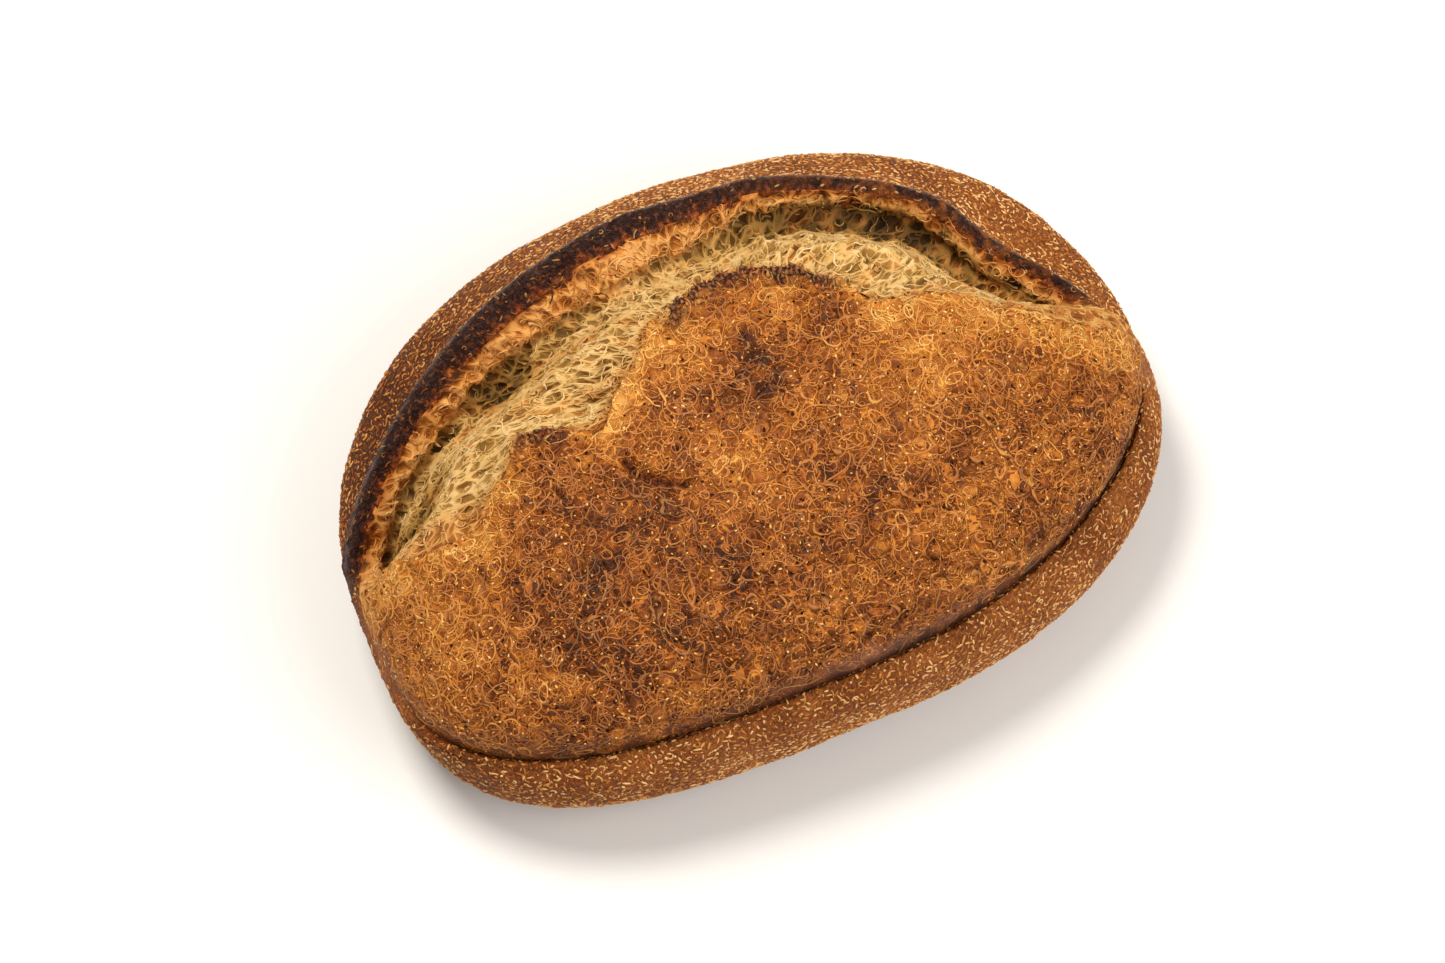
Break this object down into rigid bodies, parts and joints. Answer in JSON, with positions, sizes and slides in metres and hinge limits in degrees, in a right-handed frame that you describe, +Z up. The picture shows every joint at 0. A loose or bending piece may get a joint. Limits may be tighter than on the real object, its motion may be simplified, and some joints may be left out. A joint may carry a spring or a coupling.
{
  "type": "sourdough loaf",
  "caption": "Oval sourdough loaf with a flat underside, a curled ear along the back, torn crumb beneath it and a domed golden bloom.",
  "frame": {"origin": "on the underside, below the middle of the plan", "axes": "+X along the loaf's length, +Y towards the ear, +Z up"},
  "size_m": [0.2738, 0.1978, 0.0979],
  "materials": {
    "crust": "matte baked crust"
  },
  "bodies": {
    "root": {"loaf": "crust"}
  },
  "joints": []
}
